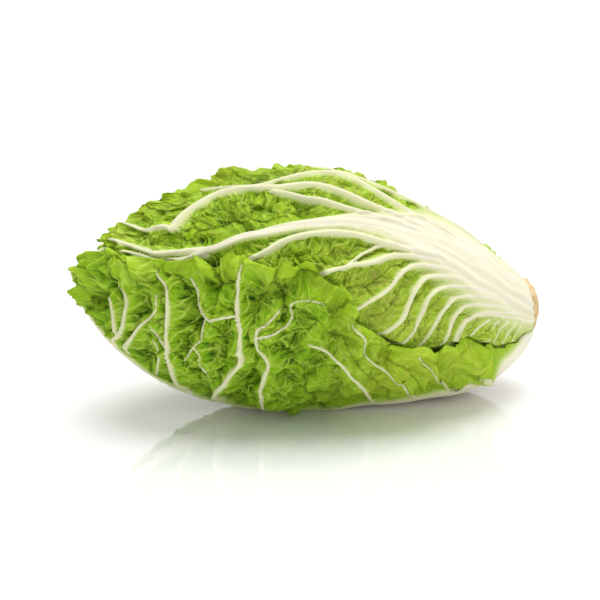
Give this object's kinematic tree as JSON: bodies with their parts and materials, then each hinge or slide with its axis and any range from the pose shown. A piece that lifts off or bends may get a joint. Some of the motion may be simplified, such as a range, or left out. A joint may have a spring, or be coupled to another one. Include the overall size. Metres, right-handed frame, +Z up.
{
  "type": "cabbage head",
  "caption": "Barrel-shaped head of crinkled green leaves with broad white ribs, wrapped round a short core, lying on its side.",
  "frame": {"origin": "on the surface that the head rests on, under the middle of its bounding box", "axes": "+X along the head towards its cut base, -X towards the leaf tips, +Z up, -Y towards the side shown as the front"},
  "size_m": [0.3008, 0.162, 0.1505],
  "materials": {
    "outer_leaf": "waxy",
    "wrapper_leaf": "waxy",
    "inner_leaf": "waxy",
    "stem": "dry cut face"
  },
  "bodies": {
    "root": {"bottom_leaf": "outer_leaf", "front_leaf": "outer_leaf", "back_leaf": "outer_leaf", "upper_wrapper_leaf": "wrapper_leaf", "back_wrapper_leaf": "wrapper_leaf", "front_wrapper_leaf": "wrapper_leaf", "inner_leaf_1": "inner_leaf", "inner_leaf_2": "inner_leaf", "inner_leaf_3": "inner_leaf", "inner_leaf_4": "inner_leaf", "inner_leaf_5": "inner_leaf", "inner_leaf_6": "inner_leaf", "heart_bud": "inner_leaf", "stem_core": "stem"}
  },
  "joints": []
}
